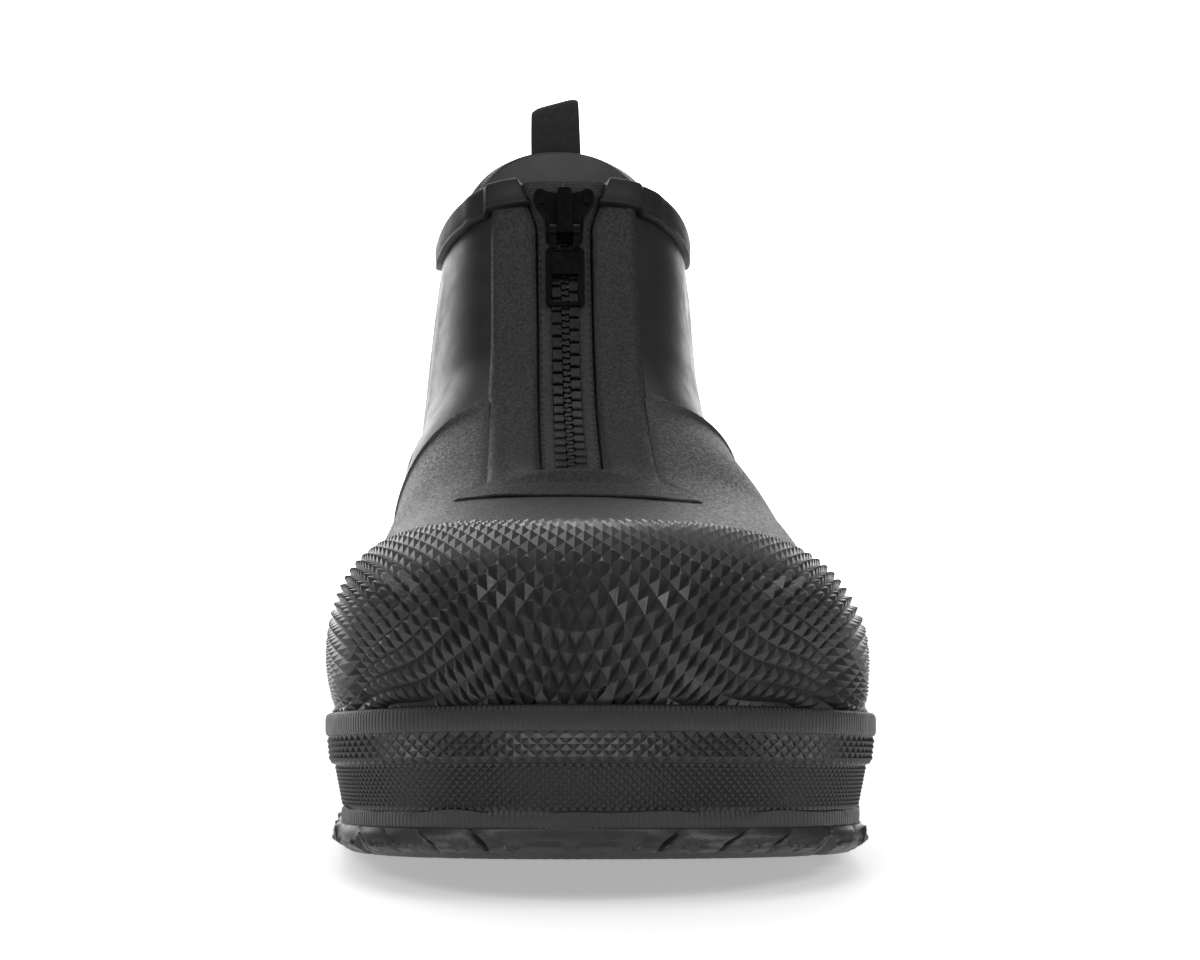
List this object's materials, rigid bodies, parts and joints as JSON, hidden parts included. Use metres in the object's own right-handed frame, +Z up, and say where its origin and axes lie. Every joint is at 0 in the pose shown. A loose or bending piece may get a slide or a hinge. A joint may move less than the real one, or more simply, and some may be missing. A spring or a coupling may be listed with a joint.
{
  "type": "rubber overshoe",
  "caption": "Ankle-high black rubber overshoe for the left foot, with a studded toe cap, a front zip with a hinged pull tab, a ribbed foxing, a lugged outsole and a webbing heel loop.",
  "frame": {"origin": "centre of the shoe's bounding box in X and Y, on the floor plane that the tread rests on", "axes": "+X to the shoe's outer (lateral) side, +Y from toe to heel, +Z up"},
  "size_m": [0.1238, 0.312, 0.2428],
  "materials": {
    "black_rubber": "matte, finely grained moulded rubber with a soft sheen",
    "black_webbing": "woven black webbing and zip tape",
    "black_plastic": "glossy moulded black plastic",
    "insole_fabric": "dark grey cloth-covered insole"
  },
  "bodies": {
    "shoe": {"upper": "black_rubber", "toe_cap": "black_rubber", "zip_placket": "black_rubber", "foxing": "black_rubber", "outsole": "black_rubber", "collar_band": "black_rubber", "side_patch": "black_rubber", "pull_loop": "black_webbing", "zip_tape_inner": "black_webbing", "zip_tape_outer": "black_webbing", "zip_teeth_inner": "black_plastic", "zip_teeth_outer": "black_plastic", "zip_slider": "black_plastic", "insole": "insole_fabric"},
    "pull": {"zip_pull": "black_plastic"}
  },
  "joints": [
    {"name": "pull_hinge", "type": "hinge", "parent": "shoe", "child": "pull", "pos_m": [-0.00354, 0.01199, 0.16176], "axis": [-1, 0, 0], "range_deg": [0, 140]}
  ]
}
